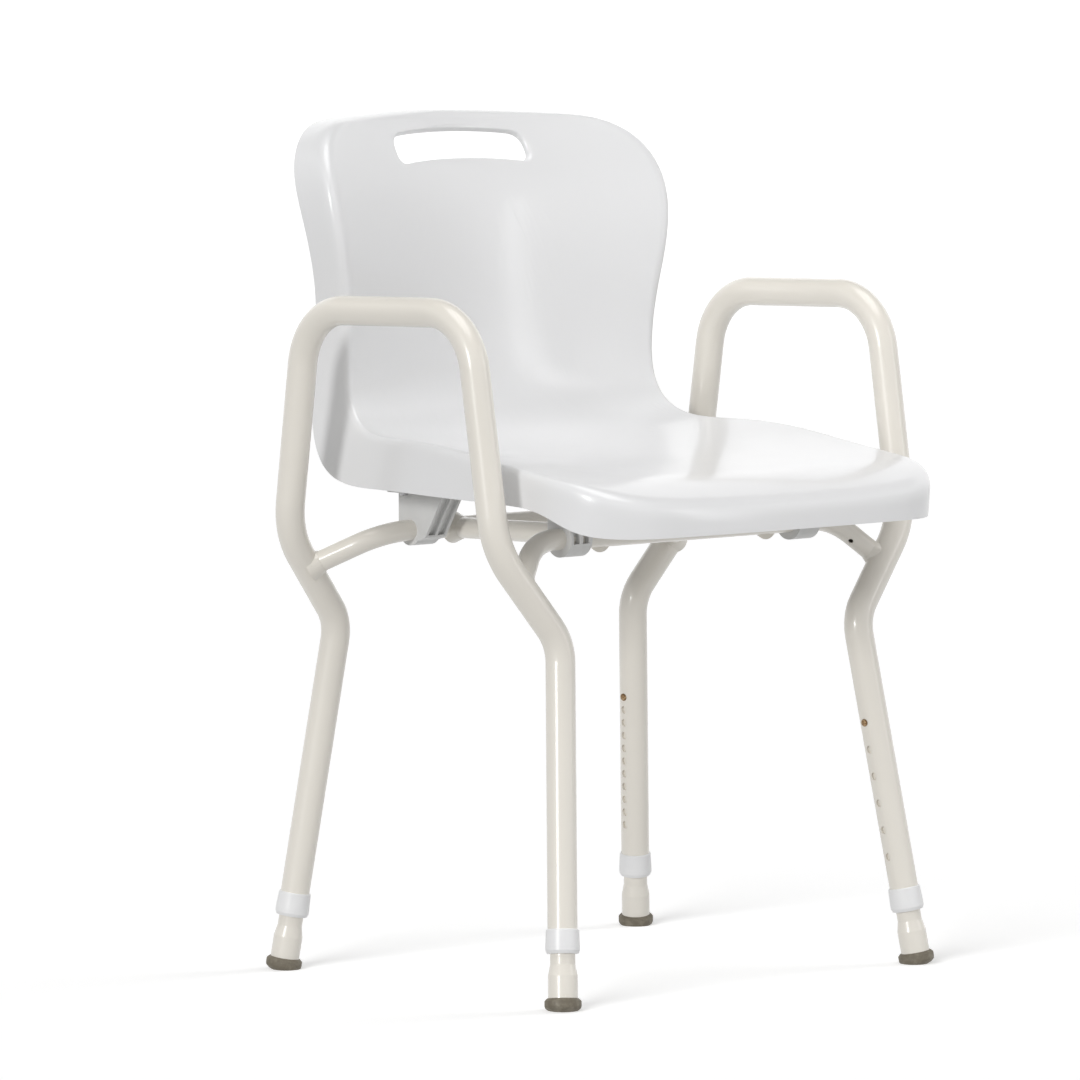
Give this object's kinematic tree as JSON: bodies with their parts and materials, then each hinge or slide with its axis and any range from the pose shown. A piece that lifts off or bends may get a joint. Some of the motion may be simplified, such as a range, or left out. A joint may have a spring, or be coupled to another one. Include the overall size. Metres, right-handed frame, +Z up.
{
  "type": "shower chair",
  "caption": "Shower chair with a one-piece moulded seat and back, a bent steel tube frame with arm rests, and telescoping legs set by spring buttons, with rubber feet.",
  "frame": {"origin": "on the floor, midway between the legs in width and at the middle of the overall depth", "axes": "+Z up, -Y towards the front of the seat, +X to the right as seen from the front"},
  "size_m": [0.5478, 0.5052, 0.7891],
  "materials": {
    "frame": "smooth cream powder coat over steel tube, semi-gloss",
    "shell": "moulded cool-white polypropylene, semi-gloss",
    "collar": "moulded white plastic, semi-gloss",
    "clip": "moulded light-grey nylon, satin",
    "foot": "moulded grey-brown rubber, matt",
    "button": "dark burnished button",
    "spring": "bright spring steel strip",
    "screw": "zinc-plated steel"
  },
  "bodies": {
    "frame": {"left_side_frame": "frame", "right_side_frame": "frame", "front_cross_tube": "frame", "rear_cross_tube": "frame", "left_stringer": "frame", "right_stringer": "frame", "frame_welds": "frame", "seat_shell": "shell", "clip_screws": "screw", "front_left_clip": "clip", "front_right_clip": "clip", "rear_left_clip": "clip", "rear_right_clip": "clip", "front_left_collar": "collar", "front_right_collar": "collar", "rear_left_collar": "collar", "rear_right_collar": "collar"},
    "front_left_leg": {"front_left_inner_leg": "frame", "front_left_foot": "foot", "front_left_button_spring": "spring"},
    "front_left_button": {"front_left_button": "button"},
    "front_right_leg": {"front_right_inner_leg": "frame", "front_right_foot": "foot", "front_right_button_spring": "spring"},
    "front_right_button": {"front_right_button": "button"},
    "rear_left_leg": {"rear_left_inner_leg": "frame", "rear_left_foot": "foot", "rear_left_button_spring": "spring"},
    "rear_left_button": {"rear_left_button": "button"},
    "rear_right_leg": {"rear_right_inner_leg": "frame", "rear_right_foot": "foot", "rear_right_button_spring": "spring"},
    "rear_right_button": {"rear_right_button": "button"}
  },
  "joints": [
    {"name": "front_left_leg_slide", "type": "slide", "parent": "frame", "child": "front_left_leg", "axis": [-0.116, -0.1338, -0.9842], "range_m": [0, 0.127], "deforming": ["front_left_button", "front_left_button_spring"]},
    {"name": "front_left_button_press", "type": "slide", "parent": "front_left_leg", "child": "front_left_button", "axis": [-0.9932, 0.0156, 0.115], "range_m": [0, 0.004], "stiffness_N_per_m": 1500, "deforming": ["front_left_button_spring"]},
    {"name": "front_right_leg_slide", "type": "slide", "parent": "frame", "child": "front_right_leg", "axis": [0.116, -0.1338, -0.9842], "range_m": [0, 0.127], "deforming": ["front_right_button", "front_right_button_spring"]},
    {"name": "front_right_button_press", "type": "slide", "parent": "front_right_leg", "child": "front_right_button", "axis": [0.9932, 0.0156, 0.115], "range_m": [0, 0.004], "stiffness_N_per_m": 1500, "deforming": ["front_right_button_spring"]},
    {"name": "rear_left_leg_slide", "type": "slide", "parent": "frame", "child": "rear_left_leg", "axis": [-0.1164, 0.1054, -0.9876], "range_m": [0, 0.127], "deforming": ["rear_left_button", "rear_left_button_spring"]},
    {"name": "rear_left_button_press", "type": "slide", "parent": "rear_left_leg", "child": "rear_left_button", "axis": [-0.9932, -0.0124, 0.1158], "range_m": [0, 0.004], "stiffness_N_per_m": 1500, "deforming": ["rear_left_button_spring"]},
    {"name": "rear_right_leg_slide", "type": "slide", "parent": "frame", "child": "rear_right_leg", "axis": [0.1164, 0.1054, -0.9876], "range_m": [0, 0.127], "deforming": ["rear_right_button", "rear_right_button_spring"]},
    {"name": "rear_right_button_press", "type": "slide", "parent": "rear_right_leg", "child": "rear_right_button", "axis": [0.9932, -0.0124, 0.1158], "range_m": [0, 0.004], "stiffness_N_per_m": 1500, "deforming": ["rear_right_button_spring"]}
  ]
}
